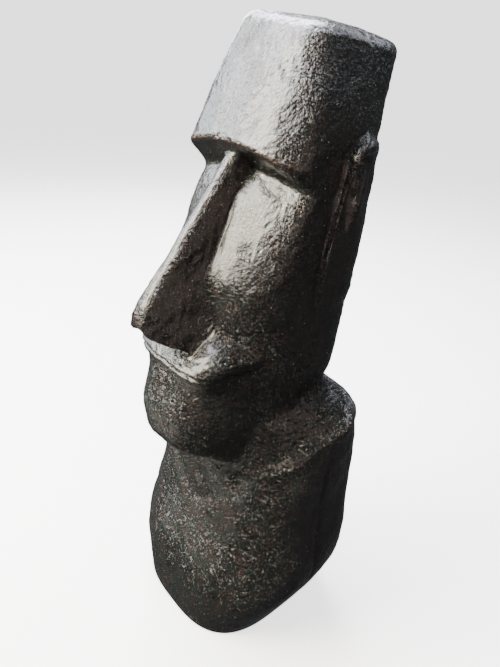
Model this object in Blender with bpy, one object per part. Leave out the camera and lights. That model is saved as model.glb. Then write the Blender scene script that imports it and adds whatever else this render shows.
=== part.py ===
"""A moai garden statue: the long head and blunt torso of an Easter Island figure, cast in one piece.

Metres, +Z up.  The statue stands on the floor at Z = 0 on its flat underside.  It faces -Y, so its
own left side is +X, and the Z axis runs up through the middle of its torso.

The whole skin is one loft between unlike sections.  A point of it has two parameters: `around`,
0 at the middle of the face and 1 at the middle of the back, and `way`, 0 at the edge of the
underside and 1 at the middle of the crown.  Every size below is in UNITs.
"""

import bpy
import numpy as np

# ---- driving dimensions ------------------------------------------------------------------------
HEIGHT = 1.50                # floor to the highest corner of the crown, metres
UNIT = HEIGHT / 1.0087       # floor to the middle of the crown's front rim; every size below is in it

# landmarks, as heights
RIDGE_Z = 0.383              # edge of the shoulders, at the front
CHIN_LOW_Z = 0.402           # underside of the chin
CHIN_Z = 0.478               # where the chin stands furthest forward
MOUTH_Z = 0.552              # parting of the lips
NOSE_Z = 0.619               # underside of the nose at its tip
CHEEK_Z = 0.674              # where the cheek stands furthest forward
EYE_Z = 0.818                # deepest line of the eye hollow
BROW_Z = 0.852               # edge of the brow at the middle

# how far the face stands forward of the axis
NECK_Y = 0.105
JAW_Y = 0.121
CHIN_Y = 0.188
LIP_Y = 0.176
CHEEK_Y = 0.117
EYE_Y = 0.041
BROW_Y = 0.090
CROWN_Y = 0.006

# (height, half width) from the underside to the crown
HALF_WIDTHS = [(0, 0.141), (0.14, 0.192), (0.26, 0.178), (RIDGE_Z - 0.04, 0.178),
               (RIDGE_Z - 0.012, 0.182), (RIDGE_Z + 0.006, 0.165), (RIDGE_Z + 0.09, 0.117),
               (0.54, 0.118), (0.66, 0.118), (BROW_Z, 0.114), (1, 0.082)]

# (height, depth) of the back behind the axis
BACK_DEPTHS = [(0, 0.161), (0.14, 0.154), (0.27, 0.147), (RIDGE_Z - 0.012, 0.116),
               (RIDGE_Z + 0.006, 0.098), (RIDGE_Z + 0.06, 0.080), (0.50, 0.104), (0.60, 0.107),
               (0.80, 0.118), (1, 0.173)]

# (height, depth) of the torso in front of the axis
CHEST_DEPTHS = [(0, 0.146), (0.09, 0.142), (0.16, 0.130), (0.27, 0.112), (0.35, NECK_Y),
                (0.42, NECK_Y)]

# the neckline: a shallow V from the shoulders, with the neck set back above it
NECKLINE_Z = 0.262           # lowest point, at the middle
NECKLINE_SLOPE = 0.72
NECK_SET_BACK = 0.014
BELLY_SWELL = 0.012          # fullness of the belly beside its middle

# (height, depth) of the face in front of the axis, without the nose, the mouth and the chin
FACE_DEPTHS = [(0.43, NECK_Y), (0.48, JAW_Y), (0.56, JAW_Y + 0.001), (0.62, CHEEK_Y + 0.002),
               (CHEEK_Z, CHEEK_Y), (EYE_Z, EYE_Y), (BROW_Z - 0.003, BROW_Y), (1.02, CROWN_Y)]

# (height, y) of the middle of the sections, where their front and back halves meet
MIDDLES = [(0, 0), (BROW_Z, 0), (1, 0.066)]

# (height, exponent) of the sections: 2 is an oval, and 4 or more is a rounded box
FRONT_SQUARENESS = [(0, 2.9), (RIDGE_Z - 0.03, 2.0), (0.47, 2.4), (0.57, 2.4), (0.67, 3.0),
                    (0.74, 3.9), (0.80, 4.9), (BROW_Z - 0.02, 4.2), (BROW_Z + 0.02, 4.0),
                    (0.93, 4.8), (1, 6.0)]
BACK_SQUARENESS = [(0, 3.6), (RIDGE_Z, 4.5), (0.47, 3.9), (0.60, 4.3), (0.66, 4.5), (0.81, 4.5),
                   (BROW_Z, 3.5), (1, 3.4)]

# (height, rise) of each section toward the back, for each unit of depth
SHOULDER_RISE = 0.567
RISES = [(0, 0), (0.15, 0.4 * SHOULDER_RISE), (RIDGE_Z, SHOULDER_RISE),
         (0.47, 0.52 * SHOULDER_RISE), (0.56, 0), (1, 0)]
SHOULDER_ROLL = 0.095        # share of its width that the front of the shoulder's ridge draws in
RISE_FROM_Y = -0.06          # the rise starts here, a little in front of the axis

# (height, depth) of the block of the mouth and the chin: a hollow lies between chin and lips
HOLLOW_Y = 0.5 * (LIP_Y + CHIN_Y) - 0.007
MUZZLE_DEPTHS = [(CHIN_LOW_Z - 0.010, NECK_Y), (CHIN_LOW_Z + 0.002, CHIN_Y - 0.018),
                 (CHIN_LOW_Z + 0.020, CHIN_Y - 0.005), (CHIN_Z - 0.010, CHIN_Y),
                 (0.5 * (CHIN_Z + MOUTH_Z), HOLLOW_Y), (MOUTH_Z - 0.014, LIP_Y - 0.007),
                 (MOUTH_Z - 0.004, LIP_Y - 0.001), (MOUTH_Z + 0.004, LIP_Y),
                 (0.620, LIP_Y - 0.064), (0.70, 0)]
PARTING_DEPTH = 0.006        # the line between the lips
PARTING_HALF_WIDTH = 0.080

# (height, half width) and (height, exponent) of that block
MUZZLE_HALF_WIDTHS = [(CHIN_LOW_Z, 0.099), (0.445, 0.105), (CHIN_Z, 0.107), (0.52, 0.100),
                      (MOUTH_Z - 0.004, 0.093), (MOUTH_Z + 0.008, 0.099), (0.570, 0.102),
                      (0.584, 0.094), (0.600, 0.065), (0.62, 0.045)]
MUZZLE_SQUARENESS = [(CHIN_LOW_Z, 3.8), (CHIN_Z, 4.5), (0.52, 5.5), (MOUTH_Z, 10.0), (0.60, 7.0)]

# (height, share) of the muzzle's front that is flat, and not bowed like the face behind it
MUZZLE_FLATNESS = [(CHIN_LOW_Z, 0.3), (CHIN_Z, 0.3), (0.52, 0.4), (MOUTH_Z - 0.01, 0.7), (0.62, 0.8)]

# (height, power) of the muzzle's corners: above 1 they run out softly into the jaw
MUZZLE_CORNERS = [(CHIN_Z, 1.5), (0.52, 1.5), (MOUTH_Z, 1.0)]

# (height, half width) of the nose at its foot, and how far its underside droops to the wings
NOSE_FEET = [(0.575, 0.040), (0.60, 0.040), (0.64, 0.033), (0.68, 0.024), (0.73, 0.020),
             (0.81, 0.0165)]
# (height, depth) and (height, half width) of the nose's ridge
NOSE_RIDGE = [(NOSE_Z - 0.05, 0.222), (NOSE_Z - 0.004, 0.2195), (NOSE_Z + 0.008, 0.2185),
              (0.66, 0.203), (0.70, 0.175), (0.74, 0.146), (0.78, 0.118), (EYE_Z, 0.089),
              (BROW_Z, 0.067)]
NOSE_RIDGE_HALF_WIDTHS = [(NOSE_Z, 0.0135), (0.78, 0.0110)]
# (height, fullness) of the face beside the nose
CHEEK_FULLNESS = [(0.56, 0), (0.60, 0.008), (0.66, 0.011), (0.78, 0.017), (EYE_Z, 0.004), (BROW_Z, 0)]
SEPTUM_SLOPE = 1.45          # the underside runs back by this much for each unit down
NOSE_DROOP_SLOPE = 1.30
NOSE_DROOP_FROM = 0.012
NOSE_DROOP_TO = 0.044

EAR_LOW_Z = 0.651
EAR_HIGH_Z = 0.874
EAR_TOP_Y = 0.064            # where its top is highest, and how fast it falls from there
EAR_ARCH = 9
EAR_SLAB = 0.003             # how far the ear's front stands out from the head, and its back
EAR_BACK_SLAB = 0.005
EAR_FOLD = 0.008             # height of the fold inside the ear, and depth of its cup
EAR_CUP = 0.011
# (height, width) and (height, height out of the head) of the ear's rolled rim
EAR_RIM_WIDTHS = [(EAR_LOW_Z, 0.0030), (0.78, 0.0045), (EAR_HIGH_Z - 0.02, 0.0075)]
EAR_RIMS = [(EAR_LOW_Z, 0.0050), (0.80, 0.0065), (EAR_HIGH_Z - 0.025, 0.0140)]
# (height, y) of the ear's front edge
EAR_FRONTS = [(0.640, 0.001), (0.682, -0.001), (0.716, 0.000), (0.747, 0.006),
              (0.780, 0.012), (0.812, 0.019), (0.838, 0.024), (0.853, 0.027), (0.864, 0.035),
              (0.871, 0.045), (0.875, 0.06)]

BROW_ARCH = 1.4              # fall of the brow's edge toward the temples
BROW_LIFT = 0.004
BROW_BOW = 0.6               # how far the forehead bows back toward the temples

ARM_GROOVE = 0.004           # depth of the groove of the arm, and where it runs down
ARM_GROOVE_Y = 0.028

CROWN_EDGE = 0.012           # rounding of the crown's rim
BASE_EDGE = 0.006            # rounding of the underside's rim
CROWN_DOME = 0.010           # rise of the crown's middle over its rim
CROWN_FALL = -0.060          # slope of the crown from front to back
CROWN_LEAN = -0.095          # slope of the crown from side to side: it was set a little askew

# shares of the way up the skin taken by the base's rim, the wall and the crown's rim
WAY_BASE = 0.010
WAY_RIM = 0.935
WAY_CAP = 0.950

# (height, rings up to it from the one before) on the wall
RING_LANES = [(BASE_EDGE, 0), (0.10, 4), (0.33, 9), (RIDGE_Z - 0.014, 2), (RIDGE_Z + 0.016, 6),
              (0.43, 4), (0.475, 4), (MOUTH_Z - 0.012, 5), (MOUTH_Z + 0.008, 6), (NOSE_Z - 0.018, 5),
              (NOSE_Z, 4), (0.66, 3), (0.79, 7), (BROW_Z - 0.004, 5), (BROW_Z + 0.008, 3), (0.90, 3),
              (1 - CROWN_EDGE, 5)]
# columns between one line down the head and the next, from the middle of the face to the back
COLUMN_LANES = [1, 2, 3, 2, 2, 3, 4, 2, 2, 2, 3, 3]


# ---- curves ------------------------------------------------------------------------------------
def ease(low, high, v):
    """0 below low, 1 above high, and a smooth S between them."""
    t = np.clip((v - low) / (high - low), 0, 1)
    return t * t * (3 - 2 * t)


def bump(v, middle, width):
    """A rounded bump, 1 at the middle and nearly 0 two widths away from it."""
    return np.exp(-((v - middle) / width) ** 2)


def flowing(v, stations):
    """A smooth curve through (place, value) stations that never overshoots them."""
    place, value = np.array(stations, float).T
    slope = np.diff(value) / np.diff(place)
    product, total = slope[:-1] * slope[1:], slope[:-1] + slope[1:]
    inner = np.where(product > 0, 2 * product / np.where(total == 0, 1, total), 0)
    tangent = np.concatenate([slope[:1], inner, slope[-1:]])
    v = np.clip(v, place[0], place[-1])
    i = np.clip(np.searchsorted(place, v) - 1, 0, len(place) - 2)
    span = place[i + 1] - place[i]
    t = (v - place[i]) / span
    return ((1 + 2 * t) * (1 - t) ** 2 * value[i] + t * (1 - t) ** 2 * span * tangent[i]
            + t * t * (3 - 2 * t) * value[i + 1] + t * t * (t - 1) * span * tangent[i + 1])


def bent(v, stations, soft):
    """Straight runs between (place, value) stations, with each corner eased over +-soft."""
    place, value = np.array(stations, float).T
    shifts = np.linspace(-soft, soft, 7)
    weights = np.array([1, 2, 3, 4, 3, 2, 1]) / 16
    return sum(w * np.interp(v + s, place, value) for w, s in zip(weights, shifts))


def soft_max(a, b, soft):
    """The larger of two values, with the crease where they cross eased over about +-soft."""
    gap = a - b
    return 0.5 * (a + b + np.sqrt(gap * gap + soft * soft)) - 0.5 * soft * np.exp(-(gap / (3 * soft)) ** 2)


# ---- carving, as depths in front of the axis ----------------------------------------------------
def brow_line(x):
    """Height of the brow's edge: an arch, lower toward the temples."""
    return BROW_Z + BROW_LIFT - BROW_ARCH * x * x


def chest_depth(x, z):
    """Front of the torso: it swells out below the neckline and then tucks in to the underside."""
    over_line = z - NECKLINE_Z - NECKLINE_SLOPE * np.hypot(x, 0.02)
    neck = ease(-0.018, 0.016, over_line) * (1 - ease(0.35, 0.40, z)) * (1 - ease(0.08, 0.14, x))
    swell = bump(x, 0.05, 0.06) * bump(z, 0.155, 0.065)
    return flowing(z, CHEST_DEPTHS) - NECK_SET_BACK * neck + BELLY_SWELL * swell


def nose_droop(x):
    """How far the underside of the nose hangs below its tip, out toward the wings."""
    return NOSE_DROOP_SLOPE * np.clip(x - NOSE_DROOP_FROM, 0, NOSE_DROOP_TO - NOSE_DROOP_FROM)


def face_depth(x, z):
    """Forehead, overhanging brow, eye hollow and cheek: bent planes that follow the brow's arch."""
    z = z + (BROW_Z - brow_line(x)) * ease(0.74, 0.80, z)
    soft, crisp = bent(z, FACE_DEPTHS, 0.016), bent(z, FACE_DEPTHS, 0.008)
    depth = soft + (crisp - soft) * ease(0.72, 0.76, z)
    depth = depth + flowing(z, CHEEK_FULLNESS) * bump(x, 0, 0.058)
    return depth - BROW_BOW * x * x * ease(0.84, 0.86, z)


def add_muzzle(depth, x, z):
    """The block of the mouth and chin: a sloping upper lip, a fine parting and a hollow below it."""
    chin, lips = bent(z, MUZZLE_DEPTHS, 0.012), bent(z, MUZZLE_DEPTHS, 0.004)
    near_lips = np.maximum(ease(MOUTH_Z - 0.035, MOUTH_Z - 0.018, z), 1 - ease(CHIN_LOW_Z, 0.43, z))
    profile = chin + (lips - chin) * near_lips
    across, n = np.clip(x / flowing(z, HALF_WIDTHS), 0, 0.85), flowing(z, FRONT_SQUARENESS)
    unbowed = (1 - across ** n) ** (-1 / n)
    profile = profile * (1 + flowing(z, MUZZLE_FLATNESS) * (unbowed - 1))
    share = np.clip(x / flowing(z, MUZZLE_HALF_WIDTHS), 0, 1)
    breadth = (1 - share ** flowing(z, MUZZLE_SQUARENESS)) ** flowing(z, MUZZLE_CORNERS)
    parting = PARTING_DEPTH * bump(z, MOUTH_Z, 0.0028)
    parting = parting * (1 - ease(PARTING_HALF_WIDTH - 0.006, PARTING_HALF_WIDTH + 0.004, x))
    return depth + (soft_max(depth, profile, 0.010) - depth) * breadth - parting


def add_nose(depth, x, z):
    """A long straight ridge with flat sides, which flare into wings over the lip."""
    ridge, half = flowing(z, NOSE_RIDGE), flowing(z, NOSE_RIDGE_HALF_WIDTHS)
    off = x - half
    off = 0.5 * (off + np.hypot(off, 0.004)) - 0.0004
    fall = np.clip(off / (flowing(z, NOSE_FEET) - half), 0, 1)
    fullness = flowing(z, [(0.57, 2.6), (0.60, 2.1), (0.63, 1.3), (0.67, 1.0)])
    underside = NOSE_Z - nose_droop(x)
    present = ease(underside - 0.014, underside, z) * (1 - ease(BROW_Z - 0.016, BROW_Z + 0.002, z))
    nose = depth + np.maximum(ridge - depth, 0) * (1 - fall ** fullness) * present
    septum = NOSE_RIDGE[1][1] - SEPTUM_SLOPE * (NOSE_Z - z)
    fill = np.clip(septum - nose, 0, 0.08) * (1 - present) * (z < NOSE_Z)
    return nose + fill * (1 - ease(0.032, 0.044, x))


def ear_front(z):
    """Depth of the ear's front edge, which sweeps back over its top."""
    return bent(z, EAR_FRONTS, 0.008)


def ear_height(y, z):
    """How far the ear stands out from the side of the head: a long slab with a rolled rim."""
    top = EAR_HIGH_Z - EAR_ARCH * (y - EAR_TOP_Y) ** 2
    back = y - ear_front(z)
    here = ease(EAR_LOW_Z - 0.025, EAR_LOW_Z + 0.012, z) * (1 - ease(top - 0.008, top + 0.008, z))
    here = here * ease(-0.0015, 0.003, back)
    rim = bump(back, 0.005, flowing(z, EAR_RIM_WIDTHS)) * ease(EAR_LOW_Z - 0.03, EAR_LOW_Z + 0.04, z)
    top_rim = bump(z, top - 0.012, 0.0125) * ease(-0.002, 0.008, back)
    in_cup = ease(EAR_LOW_Z + 0.08, EAR_LOW_Z + 0.16, z) * (1 - ease(top - 0.032, top - 0.020, z))
    fold = bump(back, 0.043, 0.010) * ease(EAR_LOW_Z + 0.09, EAR_LOW_Z + 0.14, z)
    fold = fold * (1 - ease(EAR_HIGH_Z - 0.055, EAR_HIGH_Z - 0.035, z))
    cup = bump(back, 0.030, 0.020) * in_cup
    slab = EAR_SLAB + (EAR_BACK_SLAB - EAR_SLAB) * ease(0.02, 0.06, back)
    rims = flowing(z, EAR_RIMS) * np.maximum(rim, top_rim) * (1 - 0.70 * ease(0.025, 0.060, back))
    return here * (slab + rims + EAR_FOLD * fold - EAR_CUP * cup)


def arm_groove(y, z):
    """Depth of the straight groove that sets off the arm along the side of the torso."""
    return ARM_GROOVE * bump(y, ARM_GROOVE_Y, 0.005) * ease(0.05, 0.09, z) * (1 - ease(0.30, 0.35, z))


# ---- the skin ----------------------------------------------------------------------------------
def heights_and_insets(way):
    """Height of each ring before it is bent, how far its rim draws in, and how far across the cap."""
    wall = np.interp(way, [0, WAY_BASE, WAY_RIM], [BASE_EDGE, BASE_EDGE, 1 - CROWN_EDGE])
    base_turn = np.clip((WAY_BASE - way) / WAY_BASE, 0, 1) * np.pi / 2
    rim_turn = np.clip((way - WAY_RIM) / (WAY_CAP - WAY_RIM), 0, 1) * np.pi / 2
    z = wall - BASE_EDGE * np.sin(base_turn) + CROWN_EDGE * np.sin(rim_turn)
    inset = BASE_EDGE * (1 - np.cos(base_turn)) + CROWN_EDGE * (1 - np.cos(rim_turn))
    return z, inset, np.clip((way - WAY_CAP) / (1 - WAY_CAP), 0, 1)


def section(around, z):
    """Half width, unit reach, and the sine and cosine of the turn, of a rounded-box section."""
    turn = (around - 0.5) * np.pi
    across, along = np.cos(turn), np.sin(turn)
    n = np.where(along < 0, flowing(z, FRONT_SQUARENESS), flowing(z, BACK_SQUARENESS))
    reach = (np.abs(across) ** n + np.abs(along) ** n) ** (-1 / n)
    return flowing(z, HALF_WIDTHS), reach * across, reach * along


def around_at_x(x, z):
    """Where around the front of a section its half breadth is x."""
    n = flowing(z, FRONT_SQUARENESS)
    share = np.clip(x / flowing(z, HALF_WIDTHS), 0, 0.995)
    return np.arctan2(share, (1 - share ** n) ** (1 / n)) / np.pi


def around_at_y(y, z):
    """Where around the side of a section its depth behind the axis is y."""
    middle = flowing(z, MIDDLES)
    behind = y > middle
    depth = np.where(behind, flowing(z, BACK_DEPTHS) - middle,
                     face_depth(flowing(z, HALF_WIDTHS), z) + middle)
    n = np.where(behind, flowing(z, BACK_SQUARENESS), flowing(z, FRONT_SQUARENESS))
    share = np.clip(np.abs(y - middle) / depth, 0, 0.995)
    return 0.5 + np.sign(y - middle) * np.arctan2(share, (1 - share ** n) ** (1 / n)) / np.pi


def head_lines(z):
    """Where around each ring the lines of the head are: nose, mouth, cheek, ear and back corner."""
    ear = ear_front(np.clip(z, EAR_LOW_Z, EAR_HIGH_Z - 0.02))
    ones = np.ones_like(z)
    return np.stack([0 * z, around_at_x(flowing(z, NOSE_RIDGE_HALF_WIDTHS) - 0.003, z),
                     around_at_x(flowing(z, NOSE_RIDGE_HALF_WIDTHS) + 0.005, z),
                     around_at_x(flowing(z, NOSE_FEET), z), around_at_x(0.070 * ones, z),
                     around_at_x(0.092 * ones, z), 0.34 * ones,
                     around_at_y(ear - 0.002, z), around_at_y(ear + 0.003, z),
                     around_at_y(ear + 0.012, z), around_at_y(ear + 0.043, z), 0.78 * ones, ones], -1)


def skin_grid(fineness):
    """Parameters of the skin's points, in rings whose columns follow the lines of the head."""
    steps = np.concatenate([[0], np.cumsum(COLUMN_LANES)])
    share = steps / steps[-1]
    column = np.linspace(0, 1, fineness * steps[-1] + 1)
    heights, counts = np.array(RING_LANES).T
    rings = np.cumsum(counts)
    z = np.interp(np.linspace(0, rings[-1], int(fineness * rings[-1]) + 1), rings, heights)
    way = np.interp(z, [BASE_EDGE, 1 - CROWN_EDGE], [WAY_BASE, WAY_RIM])
    base = np.linspace(0, WAY_BASE, 2 * fineness + 1)[:-1]
    rim = np.linspace(WAY_RIM, WAY_CAP, 3 * fineness + 1)[1:]
    cap = np.linspace(WAY_CAP, 1, 5 * fineness + 1)[1:]
    way = np.concatenate([base, way, rim, cap])
    z = heights_and_insets(way)[0]

    fine = np.linspace(0, 1, 401)
    width, across, along = section(fine[None], z[:, None])
    depth = np.where(along < 0, face_depth(0.08, z)[:, None], flowing(z, BACK_DEPTHS)[:, None])
    girth = np.hypot(np.diff(width * across, axis=1), np.diff(depth * along, axis=1))
    girth = np.concatenate([np.zeros((len(z), 1)), np.cumsum(girth, axis=1)], 1)
    even = np.stack([np.interp(column * g[-1], g, fine) for g in girth])
    lined = np.stack([np.interp(column, share, lines) for lines in head_lines(z)])
    on_head = (ease(0.40, 0.46, z) * (1 - ease(0.86, 0.93, z)))[:, None]
    around = lined * on_head + even * (1 - on_head)
    return around, np.tile(way[:, None], (1, around.shape[1]))


def skin(around, way, side):
    """Points of the skin in metres, for arrays of parameters; side is 1 or -1.

    Each section is a rounded box, |x / half width| ** n + |y / depth| ** n = 1.  Its front depth
    carries the face, its back rises with the shoulders, and its rings draw in at both rims.
    """
    z, inset, cap = heights_and_insets(way)
    width, across, along = section(around, z)
    x = width * across
    hang = nose_droop(x) * (1 - ease(0.050, 0.11, x)) * (along < 0)
    hang = hang * bent(z, [(0.562, 0), (NOSE_Z, 1), (0.76, 0)], 0.004)
    arch = (BROW_ARCH * x * x - BROW_LIFT) * ease(0.74, 0.82, z) * (1 - ease(0.87, 0.95, z))
    z = z - hang - arch
    width, across, along = section(around, z)
    x = width * across

    face = np.where(z < 0.41, chest_depth(x, z), face_depth(x, z))
    back = flowing(z, BACK_DEPTHS)
    front = add_nose(add_muzzle(face, x, z), x, z)
    middle = flowing(z, MIDDLES)
    y = middle + along * np.where(along < 0, front + middle, back - middle)

    ridge = ease(RIDGE_Z - 0.07, RIDGE_Z - 0.005, z) * (1 - ease(RIDGE_Z + 0.008, RIDGE_Z + 0.06, z))
    x = x * (1 - SHOULDER_ROLL * ridge * (1 - ease(0, 0.07, y)))
    on_side = ease(0.5, 0.8, x / width)
    x = x + (ear_height(y, z) - arm_groove(y, z)) * on_side

    behind = y - RISE_FROM_Y
    low = 1 - ease(RIDGE_Z, RIDGE_Z + 0.024, z)
    lift = 0.5 * (behind + np.hypot(behind, 0.03)) * (1 - low) + behind * low
    crown = ease(0.86, 1, z)

    middle_y = 0.5 * (back - face)
    reach_out = np.hypot(x, y - middle_y) + 1e-9
    shrink = (1 - np.minimum(inset, reach_out) / reach_out) * (1 - cap)
    rise = flowing(z, RISES) * lift
    x, y = x * shrink, middle_y + (y - middle_y) * shrink
    dome = CROWN_DOME * (1 - shrink ** 2) * (way > 0.5)
    x = side * x
    z = z + rise + crown * (CROWN_FALL * y + CROWN_LEAN * x) + dome
    return UNIT * np.stack([x, y, z], -1)


# ---- the object --------------------------------------------------------------------------------
def statue_mesh():
    """Rings of quads from the underside to the crown, a fan at the crown and a flat underside."""
    around, way = skin_grid(1)
    left = skin(around, way, 1)
    right = skin(around, way, -1)[:, -2:0:-1]
    rings = np.concatenate([left, right], axis=1)
    count = rings.shape[1]
    crown_point = rings[-1].mean(axis=0)
    rings = rings[:-1]
    vertices = np.vstack([rings.reshape(-1, 3), crown_point])

    here = np.arange(count)
    after = (here + 1) % count
    faces = [list(here[::-1])]
    for row in range(len(rings) - 1):
        low, high = row * count, (row + 1) * count
        faces += np.stack([low + here, low + after, high + after, high + here], 1).tolist()
    last, pole = (len(rings) - 1) * count, len(vertices) - 1
    faces += np.stack([last + here, last + after, np.full(count, pole)], 1).tolist()

    mesh = bpy.data.meshes.new("moai_statue")
    mesh.from_pydata(vertices.tolist(), [], faces)
    mesh.shade_smooth()
    mesh.set_sharp_from_angle(angle=np.radians(50))
    return mesh


def cast_stone():
    """Cast stone with a near-black satin patina."""
    material = bpy.data.materials.new("patinated cast stone")
    material.use_nodes = True
    shader = material.node_tree.nodes["Principled BSDF"]
    shader.inputs["Base Color"].default_value = (0.045, 0.038, 0.034, 1)
    shader.inputs["Roughness"].default_value = 0.42
    shader.inputs["Metallic"].default_value = 0.0
    return material


def build():
    for thing in list(bpy.data.objects):
        bpy.data.objects.remove(thing)
    collection = bpy.data.collections.new("Moai statue")
    bpy.context.scene.collection.children.link(collection)
    mesh = statue_mesh()
    mesh.materials.append(cast_stone())
    collection.objects.link(bpy.data.objects.new("moai_statue", mesh))


build()
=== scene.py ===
"""A moai garden statue in patinated cast stone, standing on a plain pale floor.

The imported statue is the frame: it gives the height, and every position follows from it.  The skin
of the statue is worked out again as a fine mesh with the relief of the casting, and stands for the
packed one.  It faces -Y and its own left side is +X.
"""

import bpy
import numpy as np
from bpy.props import FloatProperty, FloatVectorProperty, IntProperty, PointerProperty
from mathutils import Matrix, Vector


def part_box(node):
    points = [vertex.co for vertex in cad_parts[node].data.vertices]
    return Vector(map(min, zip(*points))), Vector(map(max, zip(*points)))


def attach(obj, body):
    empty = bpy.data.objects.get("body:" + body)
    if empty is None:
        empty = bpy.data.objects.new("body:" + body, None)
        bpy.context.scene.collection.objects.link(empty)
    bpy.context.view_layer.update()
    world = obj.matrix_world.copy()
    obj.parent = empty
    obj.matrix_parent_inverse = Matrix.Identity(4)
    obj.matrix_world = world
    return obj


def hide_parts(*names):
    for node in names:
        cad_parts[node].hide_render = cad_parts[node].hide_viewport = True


bl_info = {
    "name": "Moai garden statue",
    "version": (1, 0, 0),
    "blender": (4, 5, 0),
    "location": "3D View > Sidebar > Moai",
    "description": "A moai head in patinated cast stone, its fine relief and a plain stage",
    "category": "Object",
}

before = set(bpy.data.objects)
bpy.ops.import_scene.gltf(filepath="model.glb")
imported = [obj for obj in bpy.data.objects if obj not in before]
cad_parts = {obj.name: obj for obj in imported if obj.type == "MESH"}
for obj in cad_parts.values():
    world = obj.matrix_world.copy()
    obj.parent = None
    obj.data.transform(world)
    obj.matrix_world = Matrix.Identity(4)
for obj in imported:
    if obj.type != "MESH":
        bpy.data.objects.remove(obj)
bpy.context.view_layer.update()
STATUE = "moai_statue"
BODY = "root"
LOW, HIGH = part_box(STATUE)
MM = 0.001

# a UNIT is the height of the middle of the crown's front rim, in metres: the crown's highest
# corner stands above it
HEIGHT_IN_UNITS = 1.0087
UNIT = (HIGH.z - LOW.z) / HEIGHT_IN_UNITS


# ---- the shape of the statue ----
# Every size here is in UNITs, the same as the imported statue's.  A pair named ..._OVER is the band,
# from and to, over which one form eases into the next.

# landmarks, as heights
RIDGE_Z = 0.383              # edge of the shoulders, at the front
CHIN_LOW_Z = 0.402           # underside of the chin
CHIN_Z = 0.478               # where the chin stands furthest forward
MOUTH_Z = 0.552              # parting of the lips
NOSE_Z = 0.619               # underside of the nose at its tip
CHEEK_Z = 0.674              # where the cheek stands furthest forward
EYE_Z = 0.818                # deepest line of the eye hollow
BROW_Z = 0.852               # edge of the brow at the middle

# how far the face stands forward of the axis
NECK_Y = 0.105
JAW_Y = 0.121
CHIN_Y = 0.188
LIP_Y = 0.176
CHEEK_Y = 0.117
EYE_Y = 0.041
BROW_Y = 0.090
CROWN_Y = 0.006

# (height, half width) from the underside to the crown
HALF_WIDTHS = [(0, 0.141), (0.14, 0.192), (0.26, 0.178), (RIDGE_Z - 0.04, 0.178),
               (RIDGE_Z - 0.012, 0.182), (RIDGE_Z + 0.006, 0.165), (RIDGE_Z + 0.09, 0.117),
               (0.54, 0.118), (0.66, 0.118), (BROW_Z, 0.114), (1, 0.082)]

# (height, depth) of the back behind the axis
BACK_DEPTHS = [(0, 0.161), (0.14, 0.154), (0.27, 0.147), (RIDGE_Z - 0.012, 0.116),
               (RIDGE_Z + 0.006, 0.098), (RIDGE_Z + 0.06, 0.080), (0.50, 0.104), (0.60, 0.107),
               (0.80, 0.118), (1, 0.173)]

# (height, depth) of the torso in front of the axis
CHEST_DEPTHS = [(0, 0.146), (0.09, 0.142), (0.16, 0.130), (0.27, 0.112), (0.35, NECK_Y),
                (0.42, NECK_Y)]

# the neckline: a shallow V from the shoulders, with the neck set back above it
NECKLINE_Z = 0.262           # lowest point, at the middle
NECKLINE_SLOPE = 0.72
NECKLINE_POINT = 0.02        # rounding of the V
NECKLINE_OVER = (-0.018, 0.016)
NECK_SET_BACK = 0.014
NECK_ENDS_OVER = (0.35, 0.40)
NECK_NARROWS_OVER = (0.08, 0.14)
BELLY_SWELL = 0.012          # fullness of the belly beside its middle
BELLY_X = 0.05
BELLY_Z = 0.155
BELLY_HALF_WIDTH = 0.06
BELLY_HALF_HEIGHT = 0.065
THROAT_Z = 0.41              # the torso's front ends here, and the face's starts

# (height, depth) of the face in front of the axis, without the nose, the mouth and the chin
FACE_DEPTHS = [(0.43, NECK_Y), (0.48, JAW_Y), (0.56, JAW_Y + 0.001), (0.62, CHEEK_Y + 0.002),
               (CHEEK_Z, CHEEK_Y), (EYE_Z, EYE_Y), (BROW_Z - 0.003, BROW_Y), (1.02, CROWN_Y)]
FACE_SOFT = 0.016            # easing of its corners at the cheek, and above it
FACE_CRISP = 0.008
CRISP_OVER = (0.72, 0.76)

# (height, y) of the middle of the sections, where their front and back halves meet
MIDDLES = [(0, 0), (BROW_Z, 0), (1, 0.066)]

# (height, exponent) of the sections: 2 is an oval, and 4 or more is a rounded box
FRONT_SQUARENESS = [(0, 2.9), (RIDGE_Z - 0.03, 2.0), (0.47, 2.4), (0.57, 2.4), (0.67, 3.0),
                    (0.74, 3.9), (0.80, 4.9), (BROW_Z - 0.02, 4.2), (BROW_Z + 0.02, 4.0),
                    (0.93, 4.8), (1, 6.0)]
BACK_SQUARENESS = [(0, 3.6), (RIDGE_Z, 4.5), (0.47, 3.9), (0.60, 4.3), (0.66, 4.5), (0.81, 4.5),
                   (BROW_Z, 3.5), (1, 3.4)]

# (height, rise) of each section toward the back, for each unit of depth
SHOULDER_RISE = 0.567        # on the shoulders, which slope up to the back
RISES = [(0, 0), (0.15, 0.4 * SHOULDER_RISE), (RIDGE_Z, SHOULDER_RISE),
         (0.47, 0.52 * SHOULDER_RISE), (0.56, 0), (1, 0)]
RISE_FROM_Y = -0.06          # the rise starts here, a little in front of the axis
RISE_SOFT = 0.03             # rounding of that start, on the head
RISE_SOFTENS_OVER = (RIDGE_Z, RIDGE_Z + 0.024)
SHOULDER_ROLL = 0.095        # share of its width that the front of the shoulder's ridge draws in
SHOULDER_STARTS_OVER = (RIDGE_Z - 0.07, RIDGE_Z - 0.005)
SHOULDER_ENDS_OVER = (RIDGE_Z + 0.008, RIDGE_Z + 0.06)
SHOULDER_FRONT_OVER = (0, 0.07)

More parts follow.
